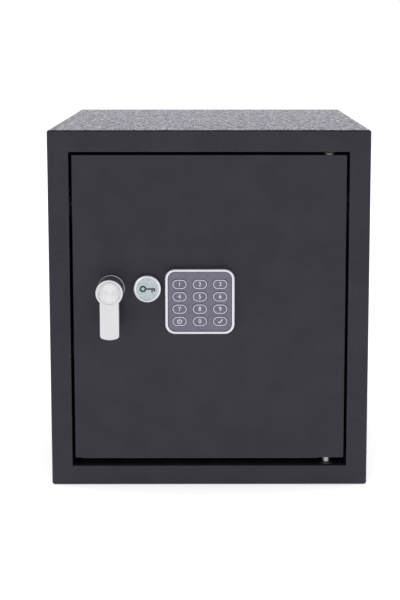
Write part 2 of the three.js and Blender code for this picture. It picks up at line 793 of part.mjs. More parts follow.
function keyButton() {
  const face = 0.3 - KEYPAD.depth;
  const shape = roundedRectangle(KEY.width, KEY.height, KEY.height / 2 - 0.01);
  return plate(shape, [face, face + KEY.depth]);
}

function keypad(door) {
  const made = group(KEYPAD.x, 0, KEYPAD.z);
  place(made, "keypad_bezel", keypadBezel(), SATIN_METAL);
  place(made, "keypad_panel", keypadPanel(), KEYPAD_FACE);
  place(made, "keypad_board", keypadBoard(), CIRCUIT_BOARD);
  KEY_NAMES.forEach((name, index) => {
    const [x, z] = keyPlace(index);
    place(made, `key_${name}`, keyButton(), KEY_PLASTIC, [x, 0, z]);
  });
  door.add(made);
}

// ---------------------------------------------------------------- door and everything it carries

function hinges(door) {
  const at = (z) => [HINGE.x, HINGE.inset, z];
  const lowerBlockZ = DOOR.bottom + 1;
  const upperBlockTop = DOOR.top - 1;
  const lowerPin = hingePin(lowerBlockZ - OPENING.bottom);
  const upperPin = hingePin(OPENING.top - upperBlockTop);
  place(door, "hinge_block_lower", hingeBlock(), INNER_PAINT, at(lowerBlockZ));
  place(door, "hinge_pin_lower", lowerPin, BRIGHT_STEEL, at(OPENING.bottom));
  place(door, "hinge_block_upper", hingeBlock(), INNER_PAINT, at(upperBlockTop - HINGE.blockHeight));
  const upper = place(door, "hinge_pin_upper", upperPin, BRIGHT_STEEL, at(OPENING.top));
  upper.rotation.x = Math.PI;
}

function boltWork(door) {
  const [lower, upper] = BOLT_HEIGHTS;
  place(door, "bolt_carrier", boltCarrier(), ZINC_PLATE);
  place(door, "bolt_lower", bolt(), BRIGHT_STEEL, [0, BOLT.depth, lower]);
  place(door, "bolt_upper", bolt(), BRIGHT_STEEL, [0, BOLT.depth, upper]);
  place(door, "carrier_stud_lower", carrierStud(), ZINC_PLATE, [STUD.x, 0, FITTINGS_Z - STUD.offset]);
  place(door, "carrier_stud_upper", carrierStud(), ZINC_PLATE, [STUD.x, 0, FITTINGS_Z + STUD.offset]);
  const solenoidPlace = [SOLENOID.x, CARRIER.depth + CARRIER.sheet / 2, SOLENOID.top];
  place(door, "solenoid_coil", solenoidCoil(), BLACK_PLASTIC, solenoidPlace);
  place(door, "solenoid_plunger", solenoidPlunger(), BRIGHT_STEEL, solenoidPlace);
}

function electronics(door) {
  place(door, "battery_tray", batteryTray(), BLACK_PLASTIC);
  for (let index = 0; index < CELL.count; index++) {
    const flipped = index % 2 === 1;
    const z = TRAY.bottom + 4 + (flipped ? CELL.length + CELL.nub : 0);
    const made = place(door, `battery_${index + 1}`, cell(), CELL_JACKET, [cellX(index), CELL.depth, z]);
    made.rotation.x = flipped ? Math.PI : 0;
  }
  const lidX = TRAY.left + TRAY_WIDTH / 2;
  const lidZ = TRAY.bottom + TRAY.height / 2;
  place(door, "battery_cover", batteryCover(), BLACK_PLASTIC, [lidX, COVER_DEPTH, lidZ]);
  place(door, "control_board", controlBoard(), CIRCUIT_BOARD);
  place(door, "reset_button", resetButton(), RED_PLASTIC, [RESET.x, 0, RESET.z]);
  place(door, "keypad_cable", keypadCable(), BLACK_PLASTIC);
}

function doorLeaf() {
  const made = group(0, DOOR_Y, 0);
  place(made, "door_panel", doorPanel(), POWDER_COAT);
  place(made, "door_stiffener", doorStiffener(), INNER_PAINT);
  place(made, "inner_cover", innerCover(), INNER_PAINT);
  screwPlaces().forEach(([x, z], index) => {
    place(made, `cover_screw_${index + 1}`, coverScrew(), ZINC_PLATE, [x, 0, z]);
  });
  hinges(made);
  boltWork(made);
  electronics(made);
  handle(made);
  overrideLock(made);
  keypad(made);
  return made;
}

const safe = group();
safe.add(cabinet(), doorLeaf());

export default safe;
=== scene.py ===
"""Looks of a free-standing electronic safe: finer shells, keys, seams, carpet and materials."""
import random
from math import cos, pi, radians, sin

import bmesh
import bpy
from mathutils import Matrix, Vector


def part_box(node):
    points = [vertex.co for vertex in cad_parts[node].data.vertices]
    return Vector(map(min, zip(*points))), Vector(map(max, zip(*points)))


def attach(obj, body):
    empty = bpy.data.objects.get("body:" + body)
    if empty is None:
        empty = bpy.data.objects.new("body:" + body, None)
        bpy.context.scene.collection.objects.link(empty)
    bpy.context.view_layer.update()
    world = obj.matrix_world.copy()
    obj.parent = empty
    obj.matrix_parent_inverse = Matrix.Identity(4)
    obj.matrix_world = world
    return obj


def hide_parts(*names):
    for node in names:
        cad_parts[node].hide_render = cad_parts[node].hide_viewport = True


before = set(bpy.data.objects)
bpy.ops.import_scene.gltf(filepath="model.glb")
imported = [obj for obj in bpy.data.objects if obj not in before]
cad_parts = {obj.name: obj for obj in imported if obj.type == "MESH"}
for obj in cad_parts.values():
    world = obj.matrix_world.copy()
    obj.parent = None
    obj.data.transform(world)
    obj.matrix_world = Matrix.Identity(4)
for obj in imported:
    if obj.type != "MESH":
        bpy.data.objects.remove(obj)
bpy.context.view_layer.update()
MM = 0.001
WHITE = (1.0, 1.0, 1.0)
COOL = (0.86, 0.82, 1.0)


# ---------------------------------------------------------------- places taken from the frame

def middle(node):
    low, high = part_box(node)
    return (low + high) / 2


def size(node):
    low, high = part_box(node)
    return high - low


def plate_of(node):
    """A node's width, height and middle (x, z), and the depths of its front and back."""
    low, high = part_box(node)
    centre = ((low.x + high.x) / 2, (low.z + high.z) / 2)
    return high.x - low.x, high.z - low.z, centre, low.y, high.y


SHELL_LOW, SHELL_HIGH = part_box("body_wrap")
FRAME_LOW, FRAME_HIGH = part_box("door_frame")
SHEET = 2 * MM
HANDLE_AXIS = middle("handle_rosette")
BADGE_AXIS = middle("badge_cover")
DOOR_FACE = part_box("door_panel")[0].y


# ---------------------------------------------------------------- camera, light and floor

def add_camera():
    """A camera about 1.3 m in front of the door and a little above the top, tilted down."""
    tilt_down, turn_right = 6.98, 0.1635
    data = bpy.data.cameras.new("camera")
    data.sensor_width = 36.0
    data.lens = 73.25
    data.shift_x = -0.028
    data.shift_y = -0.2
    camera = bpy.data.objects.new("camera", data)
    camera.location = (4.5 * MM, -1460.7 * MM, 494.8 * MM)
    camera.rotation_euler = (radians(90 - tilt_down), 0.0, radians(-turn_right))
    bpy.context.scene.collection.objects.link(camera)
    bpy.context.scene.camera = camera


def add_softbox(name, place, target, width, height, power, colour=WHITE):
    """A rectangular light at a place, turned to a target, in metres and watts."""
    data = bpy.data.lights.new(name, "AREA")
    data.shape = "RECTANGLE"
    data.size = width
    data.size_y = height
    data.energy = power
    data.color = colour
    light = bpy.data.objects.new(name, data)
    light.location = place
    light.rotation_euler = (Vector(target) - Vector(place)).to_track_quat("-Z", "Y").to_euler()
    bpy.context.scene.collection.objects.link(light)


def add_world():
    """White walls all round that darken towards the ceiling."""
    stops = ((0.0, 1.0), (0.2, 1.0), (0.5, 0.58), (0.85, 0.34))  # height from horizon to zenith, level
    world = bpy.data.worlds.new("studio")
    world.use_nodes = True
    tree = world.node_tree
    place = tree.nodes.new("ShaderNodeTexCoord")
    parts = tree.nodes.new("ShaderNodeSeparateXYZ")
    ramp = tree.nodes.new("ShaderNodeValToRGB")
    ramp.color_ramp.elements[0].position = stops[0][0]
    ramp.color_ramp.elements[0].color = (1.0, 1.0, 1.0, 1.0)
    ramp.color_ramp.elements[1].position = stops[-1][0]
    ramp.color_ramp.elements[1].color = (*[stops[-1][1]] * 3, 1.0)
    for height, level in stops[1:-1]:
        ramp.color_ramp.elements.new(height).color = (level, level, level, 1.0)
    tree.links.new(place.outputs["Generated"], parts.inputs["Vector"])
    tree.links.new(parts.outputs["Z"], ramp.inputs["Fac"])
    tree.links.new(ramp.outputs["Color"], tree.nodes["Background"].inputs["Color"])
    bpy.context.scene.world = world


def add_floor():
    """A wide pale floor that glows to meet the white surroundings, with a painted shadow under the object:
    the glow fades where ambient occlusion finds the floor hidden.
    """
    reach, sunk = 6.0, 0.2 * MM
    open_from, open_to, brightest = 0.05, 0.62, 0.75
    bm = bmesh.new()
    bmesh.ops.create_grid(bm, x_segments=1, y_segments=1, size=reach)
    mesh = bpy.data.meshes.new("floor")
    bm.to_mesh(mesh)
    bm.free()
    floor = bpy.data.objects.new("floor", mesh)
    floor.location.z = -sunk
    material, tree, shader = new_material("floor", (0.9, 0.9, 0.9), 0.8)
    shader.inputs["Specular IOR Level"].default_value = 0.1
    shader.inputs["Emission Color"].default_value = (1.0, 1.0, 1.0, 1.0)
    # painted shadow: ambient occlusion dims the floor's glow under and beside the object, down to none in
    # the anchor holes
    painted_shadow_occlusion = tree.nodes.new("ShaderNodeAmbientOcclusion")
    painted_shadow_occlusion.inputs["Distance"].default_value = 0.45
    glow_less_painted_shadow = tree.nodes.new("ShaderNodeMapRange")
    glow_less_painted_shadow.inputs["From Min"].default_value = open_from
    glow_less_painted_shadow.inputs["From Max"].default_value = open_to
    glow_less_painted_shadow.inputs["To Max"].default_value = brightest
    tree.links.new(painted_shadow_occlusion.outputs["AO"], glow_less_painted_shadow.inputs["Value"])
    tree.links.new(glow_less_painted_shadow.outputs["Result"], shader.inputs["Emission Strength"])
    mesh.materials.append(material)
    bpy.context.scene.collection.objects.link(floor)


def add_studio():
    add_camera()
    add_world()
    add_softbox("back", (0.0, 3.4, 1.1), (0.0, 0.0, 0.4), 5.0, 1.4, 23.0, COOL)
    add_softbox("back_right", (1.5, 3.2, 0.9), (0.1, 0.0, 0.4), 1.4, 0.9, 6.0, COOL)
    add_softbox("left_front", (-1.5, -1.7, 1.3), (0.0, 0.0, 0.2), 0.8, 1.0, 3.6)
    add_softbox("right_front", (1.7, -1.3, 1.2), (0.0, 0.0, 0.2), 0.7, 1.2, 1.8)
    add_floor()
    bpy.context.scene.view_settings.view_transform = "Standard"


# ---------------------------------------------------------------- material building blocks

def new_material(name, colour, roughness, metallic=0.0):
    material = bpy.data.materials.new(name)
    material.use_nodes = True
    tree = material.node_tree
    shader = tree.nodes["Principled BSDF"]
    shader.inputs["Base Color"].default_value = (*colour, 1.0)
    shader.inputs["Roughness"].default_value = roughness
    shader.inputs["Metallic"].default_value = metallic
    return material, tree, shader


def stretched(tree, stretch):
    """Object coordinates, squeezed or stretched along each axis."""
    place = tree.nodes.new("ShaderNodeTexCoord")
    mapping = tree.nodes.new("ShaderNodeMapping")
    mapping.inputs["Scale"].default_value = stretch
    tree.links.new(place.outputs["Object"], mapping.inputs["Vector"])
    return mapping.outputs["Vector"]


def noise(tree, scale, detail=2.0, stretch=(1.0, 1.0, 1.0), grain=0.5):
    """Soft noise in the object's own space, with scale features to the metre."""
    texture = tree.nodes.new("ShaderNodeTexNoise")
    texture.inputs["Scale"].default_value = scale
    texture.inputs["Detail"].default_value = detail
    texture.inputs["Roughness"].default_value = grain
    tree.links.new(stretched(tree, stretch), texture.inputs["Vector"])
    return texture.outputs["Fac"]


def cells(tree, scale, stretch=(1.0, 1.0, 1.0)):
    """Rounded cells in the object's own space."""
    texture = tree.nodes.new("ShaderNodeTexVoronoi")
    texture.feature = "SMOOTH_F1"
    texture.inputs["Scale"].default_value = scale
    tree.links.new(stretched(tree, stretch), texture.inputs["Vector"])
    return texture.outputs["Distance"]


def ranged(tree, value, low, high):
    """A 0 to 1 value spread over low to high."""
    node = tree.nodes.new("ShaderNodeMapRange")
    node.inputs["From Min"].default_value = 0.3
    node.inputs["From Max"].default_value = 0.7
    node.inputs["To Min"].default_value = low
    node.inputs["To Max"].default_value = high
    tree.links.new(value, node.inputs["Value"])
    return node.outputs["Result"]


def blended(tree, factor, dark, light):
    """A colour between dark and light."""
    ramp = tree.nodes.new("ShaderNodeValToRGB")
    ramp.color_ramp.elements[0].position = 0.3
    ramp.color_ramp.elements[0].color = (*dark, 1.0)
    ramp.color_ramp.elements[1].position = 0.7
    ramp.color_ramp.elements[1].color = (*light, 1.0)
    tree.links.new(factor, ramp.inputs["Fac"])
    return ramp.outputs["Color"]


def bumped(tree, shader, *layers):
    """Stacks bump layers, each a height output and its depth in millimetres, on the shader."""
    normal = None
    for height, depth in layers:
        bump = tree.nodes.new("ShaderNodeBump")
        bump.inputs["Strength"].default_value = 1.0
        bump.inputs["Distance"].default_value = depth * MM
        tree.links.new(height, bump.inputs["Height"])
        if normal is not None:
            tree.links.new(normal, bump.inputs["Normal"])
        normal = bump.outputs["Normal"]
    tree.links.new(normal, shader.inputs["Normal"])


def coloured(tree, shader, output):
    tree.links.new(output, shader.inputs["Base Color"])


def roughened(tree, shader, output):
    tree.links.new(output, shader.inputs["Roughness"])


def worn_edges(tree, base, highlight_colour, reach):
    """Mixes a lighter colour in on sharp edges only, broken up by noise: a painted edge highlight."""
    flat_from, sharp_from = 0.995, 0.93  # how far the rounded normal keeps to the true one
    bevel = tree.nodes.new("ShaderNodeBevel")
    bevel.inputs["Radius"].default_value = reach * MM
    geometry = tree.nodes.new("ShaderNodeNewGeometry")
    dot = tree.nodes.new("ShaderNodeVectorMath")
    dot.operation = "DOT_PRODUCT"
    tree.links.new(bevel.outputs["Normal"], dot.inputs[0])
    tree.links.new(geometry.outputs["Normal"], dot.inputs[1])
    spread = tree.nodes.new("ShaderNodeMapRange")
    spread.inputs["From Min"].default_value = flat_from
    spread.inputs["From Max"].default_value = sharp_from
    tree.links.new(dot.outputs["Value"], spread.inputs["Value"])
    broken = tree.nodes.new("ShaderNodeMath")
    broken.operation = "MULTIPLY"
    tree.links.new(spread.outputs["Result"], broken.inputs[0])
    tree.links.new(ranged(tree, noise(tree, 260.0, 4.0), 0.0, 1.0), broken.inputs[1])
    mix = tree.nodes.new("ShaderNodeMix")
    mix.data_type = "RGBA"
    tree.links.new(broken.outputs["Value"], mix.inputs["Factor"])
    tree.links.new(base, mix.inputs["A"])
    mix.inputs["B"].default_value = (*highlight_colour, 1.0)
    return mix.outputs["Result"]


# ---------------------------------------------------------------- materials

def powder_coat(name, dark, light, roughness, peel, grain=0.08):
    """Powder-coated steel: fine orange peel, uneven tone, a painted highlight on sharp edges and a grain
    of glossy and dull specks.
    """
    material, tree, shader = new_material(name, dark, roughness)
    shader.inputs["Specular IOR Level"].default_value = 0.32
    base = blended(tree, noise(tree, 38.0, 5.0), dark, light)
    # painted highlight on the sharp edges, three times the light tone
    coloured(tree, shader, worn_edges(tree, base, [3.0 * c for c in light], 0.35))
    specks = noise(tree, 230.0, 6.0, grain=0.7)
    roughened(tree, shader, ranged(tree, specks, roughness - grain, roughness + 1.5 * grain))
    bumped(tree, shader, (noise(tree, 480.0, 3.0), peel), (noise(tree, 1700.0, 2.0), 0.15 * peel))
    return material


def brushed_metal(name, colour, roughness, stretch, depth=0.01):
    """Metal with fine lines drawn along one axis: the one that stretch squeezes."""
    material, tree, shader = new_material(name, colour, roughness, 1.0)
    lines = noise(tree, 900.0, 3.0, stretch)
    coloured(tree, shader, blended(tree, lines, [0.88 * c for c in colour], colour))
    roughened(tree, shader, ranged(tree, lines, roughness - 0.06, roughness + 0.1))
    bumped(tree, shader, (lines, depth))
    return material


def turned_metal(name, colour, roughness, centre, depth=0.01):
    """Metal faced on a lathe: fine rings round an axis along Y through centre."""
    rings_per_metre = 3200.0
    material, tree, shader = new_material(name, colour, roughness, 1.0)
    place = tree.nodes.new("ShaderNodeTexCoord")
    offset = tree.nodes.new("ShaderNodeVectorMath")
    offset.operation = "SUBTRACT"
    offset.inputs[1].default_value = centre
    tree.links.new(place.outputs["Object"], offset.inputs[0])
    flat = tree.nodes.new("ShaderNodeVectorMath")
    flat.operation = "MULTIPLY"
    flat.inputs[1].default_value = (1.0, 0.0, 1.0)
    tree.links.new(offset.outputs["Vector"], flat.inputs[0])
    radius = tree.nodes.new("ShaderNodeVectorMath")
    radius.operation = "LENGTH"
    tree.links.new(flat.outputs["Vector"], radius.inputs[0])
    rings = tree.nodes.new("ShaderNodeTexNoise")
    rings.noise_dimensions = "1D"
    rings.inputs["Scale"].default_value = rings_per_metre
    rings.inputs["Detail"].default_value = 2.0
    tree.links.new(radius.outputs["Value"], rings.inputs["W"])
    lines = rings.outputs["Fac"]
    tangent = tree.nodes.new("ShaderNodeTangent")
    tangent.direction_type = "RADIAL"
    tangent.axis = "Y"
    tree.links.new(tangent.outputs["Tangent"], shader.inputs["Tangent"])
    shader.inputs["Anisotropic"].default_value = 0.9
    coloured(tree, shader, blended(tree, lines, [0.9 * c for c in colour], colour))
    roughened(tree, shader, ranged(tree, lines, roughness - 0.05, roughness + 0.08))
    bumped(tree, shader, (lines, depth))
    return material


def zinc_plate():
    """Dull zinc with a passivated, slightly yellow bloom."""
    material, tree, shader = new_material("zinc_plate", (0.5, 0.49, 0.45), 0.4, 1.0)
    bloom = noise(tree, 160.0, 6.0)
    coloured(tree, shader, blended(tree, bloom, (0.4, 0.385, 0.33), (0.58, 0.57, 0.54)))
    roughened(tree, shader, ranged(tree, noise(tree, 400.0, 4.0), 0.32, 0.5))
    bumped(tree, shader, (noise(tree, 2200.0), 0.012))
    return material


def moulded_plastic(name, dark, light, roughness, grain_scale=2600.0, depth=0.02):
    """Moulded plastic with a fine spark-eroded texture."""
    material, tree, shader = new_material(name, dark, roughness)
    coloured(tree, shader, blended(tree, noise(tree, 220.0, 4.0), dark, light))
    roughened(tree, shader, ranged(tree, noise(tree, 500.0, 3.0), roughness - 0.05, roughness + 0.06))
    bumped(tree, shader, (noise(tree, grain_scale, 2.0), depth))
    return material


def printed_ink(name, colour):
    """Matt ink, slightly uneven."""
    material, tree, shader = new_material(name, colour, 0.5)
    coloured(tree, shader, blended(tree, noise(tree, 1500.0, 3.0), [0.9 * c for c in colour], colour))
    return material


def badge_enamel():
    """Pale grey-green insert with a faint grain."""
    material, tree, shader = new_material("badge_enamel", (0.5, 0.56, 0.58), 0.32, 0.55)
    coloured(tree, shader, blended(tree, noise(tree, 380.0, 3.0), (0.38, 0.44, 0.47), (0.5, 0.56, 0.6)))
    bumped(tree, shader, (noise(tree, 900.0, 2.0, (1.0, 1.0, 0.1)), 0.012))
    return material


def solder_mask():
    """Green circuit board: glossy mask over faint tracks."""
    material, tree, shader = new_material("solder_mask", (0.01, 0.11, 0.04), 0.35)
    tracks = cells(tree, 260.0, (1.0, 0.1, 2.5))
    coloured(tree, shader, blended(tree, tracks, (0.008, 0.07, 0.03), (0.015, 0.16, 0.06)))
    bumped(tree, shader, (tracks, 0.02))
    return material


def carpet_felt():
    """Needle-punched carpet: short curled fibres with flecks of lighter yarn."""
    material, tree, shader = new_material("carpet_felt", (0.02, 0.02, 0.023), 0.95)
    fibres = noise(tree, 1400.0, 5.0, grain=0.7)
    coloured(tree, shader, blended(tree, fibres, (0.012, 0.012, 0.014), (0.06, 0.06, 0.066)))
    shader.inputs["Sheen Weight"].default_value = 0.35
    shader.inputs["Sheen Roughness"].default_value = 0.6
    bumped(tree, shader, (fibres, 0.6), (noise(tree, 240.0, 3.0), 0.8))
    return material


MATERIALS = {
    "powder_coat": powder_coat(
        "powder_coat", (0.0145, 0.0133, 0.0225), (0.0205, 0.0188, 0.0298), 0.36, 0.35, grain=0.17),
    "door_coat": powder_coat("door_coat", (0.0145, 0.0135, 0.0225), (0.021, 0.0195, 0.0305), 0.42, 0.18),
    "inner_paint": powder_coat("inner_paint", (0.05, 0.049, 0.056), (0.066, 0.064, 0.072), 0.48, 0.14),
    "bright_steel": brushed_metal("bright_steel", (0.72, 0.72, 0.74), 0.24, (0.03, 1.0, 1.0)),
    "zinc_plate": zinc_plate(),
    "lever_metal": brushed_metal("lever_metal", (0.66, 0.655, 0.68), 0.3, (1.0, 1.0, 0.03)),
    "cap_metal": turned_metal("cap_metal", (0.7, 0.7, 0.725), 0.3, HANDLE_AXIS),
    "rosette_metal": turned_metal("rosette_metal", (0.8, 0.8, 0.83), 0.45, HANDLE_AXIS),
    "badge_metal": turned_metal("badge_metal", (0.78, 0.78, 0.81), 0.26, BADGE_AXIS),
    "bezel_metal": brushed_metal("bezel_metal", (0.72, 0.71, 0.77), 0.3, (0.05, 1.0, 0.05)),
    "brass": turned_metal("brass", (0.66, 0.5, 0.24), 0.3, BADGE_AXIS),
    "badge_enamel": badge_enamel(),
    "dark_green": printed_ink("dark_green", (0.015, 0.05, 0.045)),
    "keypad_face": moulded_plastic("keypad_face", (0.125, 0.12, 0.166), (0.155, 0.15, 0.198), 0.42),
    "key_plastic": moulded_plastic("key_plastic", (0.115, 0.11, 0.155), (0.145, 0.14, 0.19), 0.46),
    "key_print": printed_ink("key_print", (0.62, 0.6, 0.72)),
    "symbol_print": printed_ink("symbol_print", (0.88, 0.87, 0.93)),
    "circuit_board": solder_mask(),
    "black_plastic": moulded_plastic("black_plastic", (0.012, 0.012, 0.013), (0.022, 0.022, 0.024), 0.5),
    "cell_jacket": moulded_plastic("cell_jacket", (0.02, 0.035, 0.07), (0.03, 0.05, 0.09), 0.28),
    "red_plastic": moulded_plastic("red_plastic", (0.42, 0.012, 0.01), (0.55, 0.03, 0.02), 0.3),
    "carpet": carpet_felt(),
    "copper": moulded_plastic("copper", (0.5, 0.25, 0.1), (0.62, 0.33, 0.15), 0.35),
}


# ---------------------------------------------------------------- mesh building blocks

def softened_group():
    """A geometry node tree that shades smooth except across edges sharper than 33 degrees."""
    tree = bpy.data.node_groups.new("soften", "GeometryNodeTree")
    tree.interface.new_socket("Geometry", in_out="INPUT", socket_type="NodeSocketGeometry")
    tree.interface.new_socket("Geometry", in_out="OUTPUT", socket_type="NodeSocketGeometry")
    start = tree.nodes.new("NodeGroupInput")
    end = tree.nodes.new("NodeGroupOutput")
    faces = tree.nodes.new("GeometryNodeSetShadeSmooth")
    edges = tree.nodes.new("GeometryNodeSetShadeSmooth")
    edges.domain = "EDGE"
    edges.inputs["Shade Smooth"].default_value = False
    angle = tree.nodes.new("GeometryNodeInputMeshEdgeAngle")
    compare = tree.nodes.new("FunctionNodeCompare")
    compare.data_type = "FLOAT"
    compare.operation = "GREATER_THAN"
    compare.inputs["B"].default_value = radians(33)
    tree.links.new(angle.outputs["Unsigned Angle"], compare.inputs["A"])
    tree.links.new(compare.outputs["Result"], edges.inputs["Selection"])
    tree.links.new(start.outputs["Geometry"], faces.inputs["Geometry"])
    tree.links.new(faces.outputs["Geometry"], edges.inputs["Geometry"])
    tree.links.new(edges.outputs["Geometry"], end.inputs["Geometry"])
    return tree


SOFTEN = softened_group()


def soften(piece, bevel):
    """Rounds the sharp edges by bevel millimetres and shades the rest smooth."""
    if bevel:
        rounding = piece.modifiers.new("round", "BEVEL")
        rounding.width = bevel * MM
        rounding.segments = 2
        rounding.limit_method = "ANGLE"
        rounding.angle_limit = radians(40)
        rounding.use_clamp_overlap = True
    smoothing = piece.modifiers.new("soften", "NODES")
    smoothing.node_group = SOFTEN
    levelled = piece.modifiers.new("level", "WEIGHTED_NORMAL")
    levelled.weight = 90
    levelled.keep_sharp = True


def dress(node, material, bevel=0.25):
    """Gives a CAD node its material, with its flat faces made whole and its edges rounded."""
    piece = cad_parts[node]
    piece.data.materials.clear()
    piece.data.materials.append(MATERIALS[material])
    weld = piece.modifiers.new("weld", "WELD")
    weld.merge_threshold = 0.01 * MM
    flat = piece.modifiers.new("flat", "DECIMATE")
    flat.decimate_type = "DISSOLVE"
    flat.angle_limit = radians(0.5)
    soften(piece, bevel)


def add_piece(name, bm, body, material, replaces=(), bevel=0.0):
    """Makes an object of the mesh and lets it ride on a body."""
    bmesh.ops.recalc_face_normals(bm, faces=bm.faces)
    mesh = bpy.data.meshes.new(name)
    bm.to_mesh(mesh)
    bm.free()
    mesh.materials.append(MATERIALS[material])
    piece = bpy.data.objects.new(name, mesh)
    bpy.context.scene.collection.objects.link(piece)
    soften(piece, bevel)
    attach(piece, body)
    if replaces:
        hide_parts(*replaces)
    return piece


def rounded_loop(width, height, corner, segments=6):
    """Points (x, z) round a rectangle with round corners, centred on 0, 0."""
    points = []
    for quarter, (side_x, side_z) in enumerate(((1, 1), (-1, 1), (-1, -1), (1, -1))):
        centre_x = side_x * (width / 2 - corner)
        centre_z = side_z * (height / 2 - corner)
        for step in range(segments + 1):
            angle = (quarter + step / segments) * pi / 2
            points.append((centre_x + corner * cos(angle), centre_z + corner * sin(angle)))
    return points


def round_loop(radius, segments=64):
    """Points round a circle centred on 0, 0."""
    angles = [2 * pi * k / segments for k in range(segments)]
    return [(radius * cos(a), radius * sin(a)) for a in angles]


def quarter(steps):
    """Angles from 0 to a quarter turn, in so many equal steps."""
    return [step / steps * pi / 2 for step in range(steps + 1)]


def at_depth(points, y, centre=(0.0, 0.0)):
    """Lifts (x, z) points to 3-D at a depth y, round a centre (x, z)."""
    return [Vector((centre[0] + x, y, centre[1] + z)) for x, z in points]


def inset_loop(width, height, corner, inset, y, centre, segments):
    """A rectangle with round corners drawn in by inset all round, at depth y."""
    points = rounded_loop(width - 2 * inset, height - 2 * inset, corner - inset, segments)
    return at_depth(points, y, centre)


def section(radius, start, steps):
    """Profile points from steps in millimetres, each inwards from a radius and onwards from a start."""
    return [(radius - inward * MM, start + onward * MM) for inward, onward in steps]


def wire_ring(place, outward, radius, segments):
    """The round section of a level wire at a place on its path."""
    angles = [2 * pi * k / segments for k in range(segments)]
    return [place + radius * (cos(a) * outward + Vector((0, 0, sin(a)))) for a in angles]


def skin(bm, loops, closed=False):
    """Joins loops of as many points into a tube, capped at both ends unless it closes on itself."""
    rings = [[bm.verts.new(point) for point in loop] for loop in loops]
    pairs = list(zip(rings, rings[1:]))
    if closed:
        pairs.append((rings[-1], rings[0]))
    for first, second in pairs:
        count = len(first)
        for k in range(count):
            after = (k + 1) % count
            bm.faces.new((first[k], first[after], second[after], second[k]))
    if not closed:
        bm.faces.new(rings[0])
        bm.faces.new(list(reversed(rings[-1])))
    return bm


def turned(profile, centre, axis="Y", segments=64, closed=False):
    """A solid of revolution from (radius, distance along the axis) pairs; the axis goes through centre."""
    loops = []
    for radius, along in profile:
        ring = []
        for x, z in round_loop(max(radius, 1e-6), segments):
            point = {"X": (along, x, z), "Y": (x, along, z), "Z": (x, z, along)}[axis]
            ring.append(Vector(centre) + Vector(point))
        loops.append(ring)
    return skin(bmesh.new(), loops, closed)


def prism(points, y0, y1, centre=(0.0, 0.0)):
    """A flat shape (x, z) given thickness from y0 to y1."""
    return skin(bmesh.new(), [at_depth(points, y0, centre), at_depth(points, y1, centre)])


def box_mesh(low, high):
    bm = bmesh.new()
    bmesh.ops.create_cube(bm, size=1.0)
    low, high = Vector(low), Vector(high)
    for vert in bm.verts:
        vert.co = (low + high) / 2 + Vector([c * s for c, s in zip(vert.co, high - low)])
    return bm


def merged(*parts):
    """Several meshes as one."""
    whole = bmesh.new()
    for part in parts:
        mesh = bpy.data.meshes.new("part")
        part.to_mesh(mesh)
        part.free()
        whole.from_mesh(mesh)
        bpy.data.meshes.remove(mesh)
    return whole


def combined(base, operation, *tools):
    """The base mesh joined with, or cut by, each tool, as a new mesh."""
    def as_object(bm, name):
        bmesh.ops.recalc_face_normals(bm, faces=bm.faces)
        mesh = bpy.data.meshes.new(name)
        bm.to_mesh(mesh)
        bm.free()
        made = bpy.data.objects.new(name, mesh)
        bpy.context.scene.collection.objects.link(made)
        return made

    target = as_object(base, "target")
    cutters = [as_object(tool, "tool") for tool in tools]
    for cutter in cutters:
        step = target.modifiers.new("step", "BOOLEAN")
        step.object = cutter
        step.operation = operation
        step.solver = "EXACT"
    bpy.context.view_layer.update()
    evaluated = target.evaluated_get(bpy.context.evaluated_depsgraph_get())
    result = bmesh.new()
    result.from_mesh(evaluated.to_mesh())
    evaluated.to_mesh_clear()
    for used in [target, *cutters]:
        mesh = used.data
        bpy.data.objects.remove(used)
        bpy.data.meshes.remove(mesh)
    bmesh.ops.remove_doubles(result, verts=result.verts, dist=0.002 * MM)
    return result


def arc(radius, start, end, steps, centre=(0.0, 0.0)):
    """Points on an arc, angles in degrees anticlockwise from +x."""
    angles = [radians(start + (end - start) * k / steps) for k in range(steps + 1)]
    return [(centre[0] + radius * cos(a), centre[1] + radius * sin(a)) for a in angles]


def stroke(points, width):
    """The outline of a line of constant width along (x, z) points."""
    left, right = [], []
    for k, point in enumerate(points):
        before = Vector(points[max(k - 1, 0)])
        after = Vector(points[min(k + 1, len(points) - 1)])
        along = (after - before).normalized()
        across = Vector((-along.y, along.x)) * width / 2
        left.append(tuple(Vector(point) + across))
        right.append(tuple(Vector(point) - across))
    return left + right[::-1]


def text_mesh(word, height, thickness, centre, y):
    """A digit as a solid, its middle at depth y, read from the front."""
    curve = bpy.data.curves.new("digit", "FONT")
    curve.body = word
    curve.size = height
    curve.extrude = thickness / 2
    curve.align_x = "CENTER"
    curve.align_y = "CENTER"
    curve.resolution_u = 5
    made = bpy.data.objects.new("digit", curve)
    bpy.context.scene.collection.objects.link(made)
    bpy.context.view_layer.update()
    mesh = bpy.data.meshes.new_from_object(made)
    mesh.transform(Matrix.Translation((centre[0], y, centre[1])) @ Matrix.Rotation(radians(90), 4, "X"))
    bm = bmesh.new()
    bm.from_mesh(mesh)
    bpy.data.objects.remove(made)
    bpy.data.curves.remove(curve)
    bpy.data.meshes.remove(mesh)
    bmesh.ops.remove_doubles(bm, verts=bm.verts, dist=0.002 * MM)
    return bm


# ---------------------------------------------------------------- cabinet

BEND = 2.0 * MM  # outside radius of the body's folds
ANCHORS_X = (-80 * MM, 80 * MM)
ANCHOR_RADIUS = 6 * MM
OPENING_LOW = FRAME_LOW + Vector((SHEET, 0, SHEET))
OPENING_HIGH = FRAME_HIGH - Vector((SHEET, 0, SHEET))


